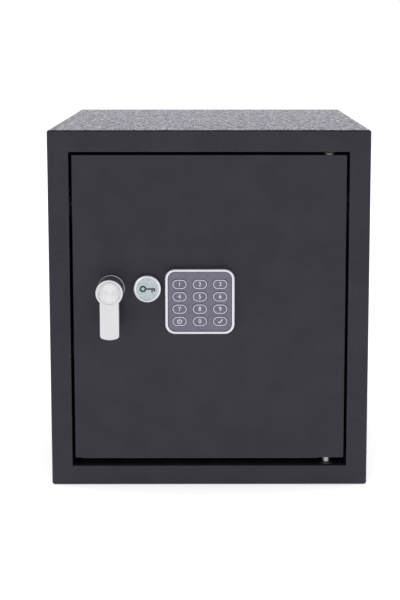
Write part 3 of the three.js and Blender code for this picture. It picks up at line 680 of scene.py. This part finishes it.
def body_shell():
    """The folded body: four walls and the front ring, with true bends and the anchor holes."""
    width = SHELL_HIGH.x - SHELL_LOW.x
    height = SHELL_HIGH.z - SHELL_LOW.z
    middle_z = (SHELL_HIGH.z + SHELL_LOW.z) / 2
    front, back = SHELL_LOW.y, SHELL_HIGH.y
    corner = 2.5 * MM
    inner_corner = 0.6 * MM
    edge = 0.25 * MM

    def ring(inset, y, radius):
        points = rounded_loop(width - 2 * inset, height - 2 * inset, radius, 5)
        return at_depth(points, y, (0.0, middle_z))

    doorway_width = OPENING_HIGH.x - OPENING_LOW.x
    doorway_height = OPENING_HIGH.z - OPENING_LOW.z
    doorway_centre = (0.0, (OPENING_HIGH.z + OPENING_LOW.z) / 2)
    doorway_corner = 0.8 * MM

    def doorway(grow, y):
        points = rounded_loop(doorway_width + 2 * grow, doorway_height + 2 * grow, doorway_corner, 5)
        return at_depth(points, y, doorway_centre)

    loops = [doorway(0.0, front + SHEET), doorway(0.0, front + edge), doorway(edge, front)]
    for turn in quarter(6):
        inset = BEND * (1 - sin(turn))
        loops.append(ring(inset, front + BEND * (1 - cos(turn)), max(corner - inset, inner_corner)))
    loops.append(ring(0.0, back - edge, corner))
    loops.append(ring(edge, back, corner - edge))
    loops.append(ring(SHEET - edge, back, inner_corner + 0.1 * MM))
    loops.append(ring(SHEET, back - edge, inner_corner))
    loops.append(ring(SHEET, front + SHEET, inner_corner))
    shell = skin(bmesh.new(), loops, closed=True)
    reach = 5 * MM
    drill = [(ANCHOR_RADIUS, -reach), (ANCHOR_RADIUS, reach)]
    holes = [turned(drill, (x, 0.0, 0.0), "Z", 32) for x in ANCHORS_X]
    drilled = combined(shell, "DIFFERENCE", *holes)
    add_piece("body_shell", drilled, "cabinet", "powder_coat", ("body_wrap",))


def back_seam():
    """The fillet of weld that closes the joint between the walls and the back panel, on the inside."""
    width, height, centre, front, _ = plate_of("back_panel")
    corner = 3 * MM
    fillet = ((-0.4, 0.3), (-0.4, -1.6), (0.5, -1.1), (1.2, -0.5), (1.8, 0.1), (1.0, 0.3))
    loops = []
    for inward, back in fillet:
        points = rounded_loop(width - 2 * inward * MM, height - 2 * inward * MM, corner, 5)
        loops.append(at_depth(points, front + back * MM, centre))
    add_piece("back_seam", skin(bmesh.new(), loops, closed=True), "cabinet", "powder_coat")


def weld_beads():
    """Short beads of weld round the back panel, ground nearly flat under the paint."""
    low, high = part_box("back_panel")
    rng = random.Random(4)
    per_edge = 5
    sunk = 0.5 * MM
    beads = []
    for edge in range(4):
        upright = edge % 2 == 0
        span = (high.z - low.z) if upright else (high.x - low.x)
        for k in range(per_edge):
            at = (k + 0.5) / per_edge * span
            length = rng.uniform(20, 26) * MM
            if upright:
                x, z = (low.x if edge == 0 else high.x), low.z + at
            else:
                x, z = low.x + at, (low.z if edge == 1 else high.z)
            beads.append(weld_bead(Vector((x, high.y - sunk, z)), length, upright, rng))
    add_piece("weld_beads", merged(*beads), "cabinet", "powder_coat")


def weld_bead(place, length, upright, rng):
    """A low ridge with uneven ripples along its length."""
    steps = 14
    flatness = 0.26
    raised = 0.1 * MM
    loops = []
    for k in range(steps + 1):
        part = k / steps
        thick = 0.15 + 0.85 * sin(pi * part) ** 0.35
        radius = (1.9 + rng.uniform(-0.12, 0.12)) * MM * thick
        along = (part - 0.5) * length
        ring = []
        for x, y in round_loop(radius, 10):
            depth = flatness * y + raised
            ring.append(place + Vector((x, depth, along) if upright else (along, depth, x)))
        loops.append(ring)
    return skin(bmesh.new(), loops)


def floor_carpet():
    """The carpet mat: a low, slightly uneven nap with rounded edges, punched for the base anchors."""
    low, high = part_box("floor_mat")
    inset = 0.3 * MM
    sunk = 0.2 * MM
    cut_radius, hole_radius = 9 * MM, 10 * MM  # the grid's squares open a little wider than the cut
    width, length = high.x - low.x - 2 * inset, high.y - low.y - 2 * inset
    columns, rows = 84, 76
    rng = random.Random(7)
    bm = bmesh.new()
    bmesh.ops.create_grid(bm, x_segments=columns, y_segments=rows, size=0.5)
    centre = (low + high) / 2
    for vert in bm.verts:
        on_edge = max(abs(vert.co.x), abs(vert.co.y)) > 0.499
        lift = -0.5 * MM if on_edge else rng.uniform(-0.12, 0.0) * MM
        x = centre.x + vert.co.x * width
        y = centre.y + vert.co.y * length
        vert.co = Vector((x, y, high.z - sunk + lift))
    anchors = [Vector((x, 0.0)) for x in ANCHORS_X]
    cut = [v for v in bm.verts if min((v.co.xy - anchor).length for anchor in anchors) < cut_radius]
    bmesh.ops.delete(bm, geom=cut, context="VERTS")
    sides = bmesh.ops.extrude_edge_only(bm, edges=[e for e in bm.edges if e.is_boundary])
    lowered = [g for g in sides["geom"] if isinstance(g, bmesh.types.BMVert)]
    for vert in lowered:
        vert.co.z = low.z + sunk
    loops = [e for e in bm.edges if e.is_boundary]
    bmesh.ops.triangle_fill(bm, edges=loops, use_beauty=True)
    mat = add_piece("floor_carpet", bm, "cabinet", "carpet", ("floor_mat",))


def cabinet_looks():
    body_shell()
    back_seam()
    weld_beads()
    floor_carpet()
    dress("door_frame", "powder_coat", 0.3)
    dress("back_panel", "powder_coat", 0.3)
    dress("shelf", "inner_paint", 0.4)
    for side in ("left", "right"):
        dress(f"shelf_rail_{side}", "inner_paint", 0.4)
    for end in ("lower", "upper"):
        dress(f"hinge_bush_{end}", "powder_coat", 0.2)


# ---------------------------------------------------------------- door leaf

def door_leaf():
    """The door plate with its laser-cut edges eased."""
    width, height, centre, front, back = plate_of("door_panel")
    corner = 1.3 * MM
    front_ease = 0.7 * MM
    back_ease = 0.3 * MM
    loops = []
    for turn in quarter(4):
        inset = front_ease * (1 - sin(turn))
        y = front + front_ease * (1 - cos(turn))
        loops.append(inset_loop(width, height, corner, inset, y, centre, 4))
    loops.append(inset_loop(width, height, corner, 0.0, back - back_ease, centre, 4))
    loops.append(inset_loop(width, height, corner, back_ease, back, centre, 4))
    add_piece("door_leaf", skin(bmesh.new(), loops), "door", "door_coat", ("door_panel",))


def cross_recess(place, reach, depth):
    """The two blades of a cutter for a cross-head screw that faces +Y."""
    half_blade, past_head = 0.45 * MM, 1 * MM
    blades = []
    for turn in (20, 110):
        blade = box_mesh((-reach, -depth, -half_blade), (reach, past_head, half_blade))
        blade.transform(Matrix.Translation(place) @ Matrix.Rotation(radians(turn), 4, "Y"))
        blades.append(blade)
    return blades


def cover_screws():
    """Pan-head screws with a cross recess."""
    shank, rim, dome = 2 * MM, 4 * MM, 1.5 * MM
    head_height, rim_height, chamfer = 2.4 * MM, 0.9 * MM, 0.2 * MM
    for index in range(1, 5):
        node = f"cover_screw_{index}"
        low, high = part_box(node)
        centre = Vector(((low.x + high.x) / 2, 0.0, (low.z + high.z) / 2))
        seat = high.y - head_height
        profile = [(shank, low.y), (shank, seat), (rim - chamfer, seat), (rim, seat + chamfer)]
        profile.append((rim, seat + rim_height))
        profile += [(rim * cos(a), seat + rim_height + dome * sin(a)) for a in quarter(5)[1:-1]]
        profile.append((0.4 * MM, high.y))
        body = turned(profile, centre, "Y", 32)
        recess = cross_recess(Vector((centre.x, high.y, centre.z)), 2.1 * MM, 1.3 * MM)
        head = combined(body, "DIFFERENCE", *recess)
        add_piece(f"{node}_head", head, "door", "zinc_plate", (node,))


def battery_lid():
    """The lid with its finger scoop kept and a row of grip ribs added."""
    dress("battery_cover", "black_plastic", 0.5)
    low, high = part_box("battery_cover")
    middle_x = (low.x + high.x) / 2
    count, first, pitch = 5, 6, 3
    rib_length, rib_width = 32 * MM, 1.2 * MM
    ribs = []
    for k in range(count):
        z = low.z + (first + pitch * k) * MM
        outline = rounded_loop(rib_length, rib_width, rib_width / 2 - 0.01 * MM, 4)
        ribs.append(prism(outline, high.y - 0.3 * MM, high.y + 0.45 * MM, (middle_x, z)))
    add_piece("battery_lid_ribs", merged(*ribs), "battery_cover", "black_plastic",
              bevel=0.15)


def cells_in_tray():
    """Cells with a metal cap at each end, and the coil springs of the tray."""
    nub = ((6.3, 0.0), (6.3, 0.12), (2.72, 0.12), (2.72, 1.15), (2.5, 1.32), (0.1, 1.32))
    shoulder = 1.25 * MM
    for index in range(1, 5):
        node = f"battery_{index}"
        dress(node, "cell_jacket", 0.2)
        low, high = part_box(node)
        centre = Vector(((low.x + high.x) / 2, (low.y + high.y) / 2, 0.0))
        up = index % 2 == 1
        out = 1 if up else -1
        cap_z = high.z - shoulder if up else low.z + shoulder
        profile = [(radius * MM, cap_z + out * height * MM) for radius, height in nub]
        add_piece(f"{node}_cap", turned(profile, centre, "Z", 32), "door", "bright_steel")
        spring = coil(centre, low.z if up else high.z, -out)
        add_piece(f"{node}_spring", spring, "door", "bright_steel")


def coil(centre, start, direction, turns=2.5, length=1.9 * MM, wire=0.3 * MM):
    """A conical contact spring, its wide end away from the cell."""
    steps = 60
    narrow, widening, gap = 2.6 * MM, 2.0 * MM, 0.35 * MM
    loops = []
    for k in range(steps + 1):
        part = k / steps
        angle = 2 * pi * turns * part
        outward = Vector((cos(angle), sin(angle), 0.0))
        height = start + direction * (gap + part * length)
        place = Vector((centre.x, centre.y, height)) + (narrow + widening * part) * outward
        loops.append(wire_ring(place, outward, wire, 8))
    return skin(bmesh.new(), loops)


def board_parts():
    """What stands on the control board: chips, a relay, resistors, capacitors and solder points."""
    low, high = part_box("control_board")
    front, back = low.y, high.y

    def block(x, z, width, height, thick):
        corner = Vector((low.x + x * MM, back, low.z + z * MM))
        return box_mesh(corner, corner + Vector((width, thick, height)) * MM)

    def can(x, z, radius, height):
        section = ((radius, 0.0), (radius, 0.3), (radius, height), (radius - 0.4, height + 0.4))
        profile = [(r * MM, y * MM) for r, y in section]
        return turned(profile, Vector((low.x + x * MM, back, low.z + z * MM)), "Y", 24)

    def solder(x, z):
        profile = [(0.9 * MM, 0.0), (0.6 * MM, -0.5 * MM), (0.2 * MM, -0.8 * MM)]
        return turned(profile, Vector((low.x + x * MM, front, low.z + z * MM)), "Y", 10)

    chips = [block(30, 38, 12, 12, 2), block(52, 60, 16, 12, 7), block(20, 66, 7, 5, 1.6)]
    chips += [block(24 + 5 * k, 26, 2, 1.2, 0.6) for k in range(8)]
    add_piece("board_chips", merged(*chips), "door", "black_plastic", bevel=0.2)
    cans = [can(50, 22, 3.2, 7), can(60, 24, 2.5, 6), can(36, 64, 3.2, 7)]
    add_piece("board_capacitors", merged(*cans), "door", "bright_steel")
    points = [solder(8 + 4 * k, 83) for k in range(18)]
    add_piece("board_solder", merged(*points), "door", "bright_steel")


def coil_winding():
    """The solenoid's winding: rings of copper wire between its cheeks."""
    low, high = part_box("solenoid_coil")
    centre = (low + high) / 2
    turns, wire, corner = 15, 0.42 * MM, 4 * MM
    cheek, proud = 3.5 * MM, 0.6 * MM
    width, depth = high.x - low.x + 2 * proud, high.y - low.y + 2 * proud
    rings = []
    for k in range(turns):
        z = low.z + cheek + k * (high.z - low.z - 2 * cheek) / (turns - 1)
        loops = []
        for x, y in rounded_loop(width, depth, corner, 4):
            outward = Vector((x, y, 0)).normalized()
            loops.append(wire_ring(Vector((centre.x + x, centre.y + y, z)), outward, wire, 6))
        rings.append(skin(bmesh.new(), loops, closed=True))
    add_piece("coil_winding", merged(*rings), "door", "copper")


def door_looks():
    door_leaf()
    cover_screws()
    battery_lid()
    cells_in_tray()
    board_parts()
    coil_winding()
    dress("door_stiffener", "inner_paint", 0.4)
    dress("inner_cover", "inner_paint", 0.35)
    for end in ("lower", "upper"):
        dress(f"hinge_block_{end}", "inner_paint", 0.4)
        dress(f"hinge_pin_{end}", "zinc_plate", 0.08)
        dress(f"carrier_stud_{end}", "zinc_plate", 0.2)
    dress("battery_tray", "black_plastic", 0.3)
    dress("solenoid_coil", "black_plastic", 0.3)
    dress("keypad_cable", "black_plastic", 0.0)
    for node in ("control_board", "keypad_board"):
        dress(node, "circuit_board", 0.1)
    dress("reset_button", "red_plastic", 0.3)
    dress("lock_barrel", "brass", 0.2)
    dress("lock_plug", "brass", 0.15)
    dress("lock_nut", "zinc_plate", 0.3)
    dress("lock_cam", "zinc_plate", 0.2)
    dress("handle_cam", "zinc_plate", 0.25)
    dress("bolt_carrier", "zinc_plate", 0.25)
    dress("solenoid_plunger", "bright_steel", 0.2)


def bolt_looks():
    """Turned bolts with a chamfered nose, two fine grooves and a reduced stub at the carrier."""
    stub_length, stub_radius = 5 * MM, 4 * MM
    nose = ((2.4, 0.0), (1.6, 0.25), (0.3, 1.6), (0.0, 2.3))
    groove = ((0.0, 0.0), (0.35, 0.3), (0.35, 0.8), (0.0, 1.1))
    for end in ("lower", "upper"):
        node = f"bolt_{end}"
        low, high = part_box(node)
        centre = Vector((0.0, (low.y + high.y) / 2, (low.z + high.z) / 2))
        radius = (high.y - low.y) / 2
        shoulder = high.x - stub_length
        profile = section(radius, low.x, nose)
        for place in (26, 29):
            profile += section(radius, low.x + place * MM, groove)
        profile += section(radius, shoulder, ((0.0, -0.4), (0.4, 0.0)))
        profile += [(stub_radius, shoulder)] + section(stub_radius, high.x, ((0.0, -0.5), (0.6, 0.0)))
        rod = turned(profile, centre, "X", 48)
        add_piece(f"{node}_rod", rod, "bolt_work", "bright_steel", (node,))


# ---------------------------------------------------------------- handle

CORE = 0.2 * MM  # radius at which a turned solid closes on its axis


def rosette():
    """A flat ring with a rounded rim and a face sunk just inside it."""
    low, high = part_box("handle_rosette")
    radius = (high.x - low.x) / 2
    centre = Vector((HANDLE_AXIS.x, 0.0, HANDLE_AXIS.z))
    bore, round_edge, sunk = 6 * MM, 1.3 * MM, 0.4 * MM
    profile = [(bore, high.y), (radius, high.y), (radius, low.y + round_edge)]
    for turn in quarter(4)[1:]:
        profile.append((radius - round_edge * (1 - cos(turn)), low.y + round_edge * (1 - sin(turn))))
    profile += [(radius - 3.5 * MM, low.y), (radius - 4 * MM, low.y + sunk), (bore, low.y + sunk)]
    ring = turned(profile, centre, "Y", 96, closed=True)
    add_piece("rosette", ring, "door", "rosette_metal", ("handle_rosette",))


def lever():
    """A round head that carries the cap, and a flat grip that hangs from it with an eased outline."""
    low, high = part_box("handle_lever")
    radius = high.z - HANDLE_AXIS.z
    face = low.y
    back = DOOR_FACE - 4.6 * MM
    seat = face + 1.1 * MM
    recess = size("handle_cap").x / 2 + 0.25 * MM
    ease, shank = 0.9 * MM, 5 * MM
    head = [(CORE, seat), (recess, seat)] + section(recess, face, ((0.0, 0.25), (-0.25, 0.0)))
    head.append((radius - ease, face))
    head += [(radius - ease * (1 - sin(a)), face + ease * (1 - cos(a))) for a in quarter(4)[1:]]
    head += section(radius, back, ((0.0, -1.4), (0.5, -0.5), (1.4, 0.0)))
    head += [(shank, back), (shank, high.y), (CORE, high.y)]
    head_mesh = turned(head, Vector((HANDLE_AXIS.x, 0.0, HANDLE_AXIS.z)), "Y", 96)
    width, thickness, crown = 20.7 * MM, 9.4 * MM, 1.5 * MM
    length = HANDLE_AXIS.z - low.z
    start = face + 0.25 * MM
    loops = []
    for turn in quarter(5):
        y = start + crown * (1 - cos(turn))
        loops.append(grip_loop(width, length, crown * (1 - sin(turn)), y, low.z))
    for turn in reversed(quarter(5)):
        y = start + thickness - crown * (1 - cos(turn))
        loops.append(grip_loop(width, length, crown * (1 - sin(turn)), y, low.z))
    whole = combined(head_mesh, "UNION", skin(bmesh.new(), loops))
    add_piece("lever", whole, "handle", "lever_metal", ("handle_lever",))


def grip_loop(width, length, inset, y, bottom):
    """The grip's outline: straight sides and a shallow curved end, its top inside the head."""
    half = width / 2 - inset
    corner, bulge = 4.0 * MM, 1.1 * MM
    low = bottom + inset
    corner_z = low + bulge + corner
    angles = [radians(-10 * k) for k in range(8)]
    right = [(half - corner + corner * cos(a), corner_z + corner * sin(a)) for a in angles]
    end_x, end_z = right[-1]
    curve = []
    for k in range(1, 8):
        across = 1 - 2 * k / 8
        curve.append((end_x * across, end_z - (end_z - low) * (1 - across ** 2)))
    left = [(-x, z) for x, z in reversed(right)]
    top = bottom + length - 2 * MM
    return at_depth(right + curve + left + [(-half, top), (half, top)], y, (HANDLE_AXIS.x, 0.0))


def cap():
    """The disc let into the head, with a fine groove near its rim and a low dome."""
    low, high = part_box("handle_cap")
    radius = (high.x - low.x) / 2
    core = 0.1 * MM
    centre = Vector((HANDLE_AXIS.x, 0.0, HANDLE_AXIS.z))
    rim = ((0.0, 0.35), (0.3, 0.1), (1.3, 0.02))
    groove = ((1.5, 0.35), (2.1, 0.35), (2.3, 0.05))
    dome = ((5.0, 0.02),)
    profile = [(core, high.y), (radius, high.y)]
    profile += section(radius, low.y, rim + groove + dome)
    profile.append((core, low.y))
    disc = turned(profile, centre, "Y", 96)
    add_piece("cap_disc", disc, "handle", "cap_metal", ("handle_cap",))


def handle_looks():
    rosette()
    lever()
    cap()


# ---------------------------------------------------------------- badge and lock

def badge():
    """A cap with a bright raised rim, a pale insert and a key sign."""
    low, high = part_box("badge_cover")
    radius = (high.x - low.x) / 2
    centre = Vector((BADGE_AXIS.x, 0.0, BADGE_AXIS.z))
    face = low.y
    floor = face + 0.7 * MM
    web = face + 2.2 * MM
    inner = radius - 3.0 * MM
    bore = 12.7 * MM
    profile = [(CORE, floor), (inner, floor), (inner + 0.3 * MM, floor - 0.3 * MM)]
    profile += section(inner, face, ((-0.9, 0.08), (-1.5, 0.0)))
    profile += section(radius, face, ((0.7, 0.4), (0.15, 0.95), (0.0, 1.6)))
    profile += [(radius, high.y), (bore, high.y), (bore, web), (CORE, web)]
    shell = turned(profile, centre, "Y", 96)
    add_piece("badge_cap", shell, "badge_cover", "badge_metal", ("badge_cover",))
    core = 0.1 * MM
    disc = [(core, floor - 0.02 * MM)] + section(inner, floor, ((0.1, -0.02), (0.2, -0.12)))
    disc.append((core, floor - 0.14 * MM))
    add_piece("badge_insert", turned(disc, centre, "Y", 96), "badge_cover", "badge_enamel")
    badge_sign(centre, floor - 0.2 * MM, floor - 0.12 * MM)


def badge_sign(centre, front, back):
    """A key seen from the side: a round bow, a shaft and two bits."""
    parts = [ring_mesh(3.7 * MM, 1.7 * MM, front, back, (centre.x - 4.6 * MM, centre.z))]
    bars = [((-1.0, -0.9), (8.6, 0.9)), ((4.4, -3.5), (6.1, -0.88)), ((7.0, -2.9), (8.6, -0.88))]
    for (x0, z0), (x1, z1) in bars:
        corners = [(x0 * MM, z0 * MM), (x1 * MM, z0 * MM), (x1 * MM, z1 * MM), (x0 * MM, z1 * MM)]
        parts.append(prism(corners, front, back, (centre.x, centre.z)))
    add_piece("badge_key_sign", merged(*parts), "badge_cover", "dark_green")


def ring_mesh(outer, inner, front, back, centre, segments=40):
    """A flat ring."""
    corners = ((outer, front), (outer, back), (inner, back), (inner, front))
    loops = [at_depth(round_loop(radius, segments), y, centre) for radius, y in corners]
    return skin(bmesh.new(), loops, closed=True)


# ---------------------------------------------------------------- keypad

KEY_NAMES = [str(k) for k in range(10)] + ["power", "enter"]
HAIR = 0.02 * MM  # keeps the two round ends of a stadium from meeting


def bezel():
    """The bright frame round the keypad, with a rounded crown."""
    width, height, centre, front, back = plate_of("keypad_bezel")
    corner, border, crown, slope = 11 * MM, 3.15 * MM, 1.4 * MM, 0.8 * MM

    def ring(inset, y):
        return inset_loop(width, height, corner, inset, y, centre, 12)

    loops = [ring(0.0, back)]
    for turn in quarter(6):
        loops.append(ring(crown * (1 - cos(turn)), front + crown * (1 - sin(turn))))
    for turn in quarter(4)[1:]:
        loops.append(ring(border - slope + slope * sin(turn), front + slope * (1 - cos(turn))))
    loops.append(ring(border, back))
    frame_mesh = skin(bmesh.new(), loops, closed=True)
    add_piece("bezel", frame_mesh, "door", "bezel_metal", ("keypad_bezel",))


def keypad_face():
    """The face plate with an eased stadium hole for each key."""
    width, height, centre, front, back = plate_of("keypad_panel")
    grow, corner, gap, through = 0.4 * MM, 7.4 * MM, 0.3 * MM, 2 * MM
    outline = rounded_loop(width + 2 * grow, height + 2 * grow, corner, 10)
    holes = []
    for name in KEY_NAMES:
        key_width, key_height, key_centre, _, _ = plate_of(f"key_{name}")
        end_radius = key_height / 2 + gap - HAIR / 2
        hole = rounded_loop(key_width + 2 * gap, key_height + 2 * gap, end_radius, 8)
        holes.append(prism(hole, front - through, back + through, key_centre))
    plate = combined(prism(outline, front, back, centre), "DIFFERENCE", *holes)
    add_piece("keypad_face", plate, "door", "keypad_face", ("keypad_panel",), 0.15)


def key_caps():
    """Each key: a domed stadium, its printed rim and its digit or sign."""
    crown, below_print = 0.5 * MM, 0.25 * MM
    for name in KEY_NAMES:
        node = f"key_{name}"
        width, height, centre, front, back = plate_of(node)
        corner = height / 2 - HAIR
        loops = [inset_loop(width, height, corner, 0.0, back, centre, 9)]
        for turn in quarter(4):
            y = front + below_print + crown * (1 - sin(turn))
            loops.append(inset_loop(width, height, corner, crown * (1 - cos(turn)), y, centre, 9))
        add_piece(f"{node}_cap", skin(bmesh.new(), loops), node, "key_plastic", (node,))
        add_piece(f"{node}_rim", key_rim(width, height, front, centre), node, "key_print")
        add_piece(f"{node}_sign", key_sign(name, centre, front), node, "symbol_print")


def key_rim(width, height, face, centre):
    """A raised printed band just inside the key's edge."""
    corner = height / 2 - HAIR
    loops = []
    for inset, y in ((0.4, 0.3), (0.4, 0.06), (0.5, 0.0), (1.2, 0.0), (1.3, 0.06), (1.3, 0.3)):
        loops.append(inset_loop(width, height, corner, inset * MM, face + y * MM, centre, 9))
    return skin(bmesh.new(), loops, closed=True)


def key_sign(name, centre, face):
    """The key's digit, a power sign or a tick, standing proud of its face."""
    front, back = face + 0.12 * MM, face + 0.3 * MM
    if name == "power":
        ring = stroke(arc(2.1 * MM, 125, 415, 20), 0.75 * MM)
        bar = stroke([(0.0, 2.7 * MM), (0.0, 0.3 * MM)], 0.76 * MM)
        return merged(prism(ring, front, back, centre), prism(bar, front, back, centre))
    if name == "enter":
        tick = stroke([(-2.2 * MM, -0.1 * MM), (-0.7 * MM, -1.8 * MM), (2.4 * MM, 2.2 * MM)], 0.85 * MM)
        return prism(tick, front, back, centre)
    return text_mesh(name, 6.2 * MM, 0.18 * MM, centre, (front + back) / 2)


def keypad_looks():
    bezel()
    keypad_face()
    key_caps()


# ---------------------------------------------------------------- everything

add_studio()
cabinet_looks()
door_looks()
bolt_looks()
handle_looks()
badge()
keypad_looks()
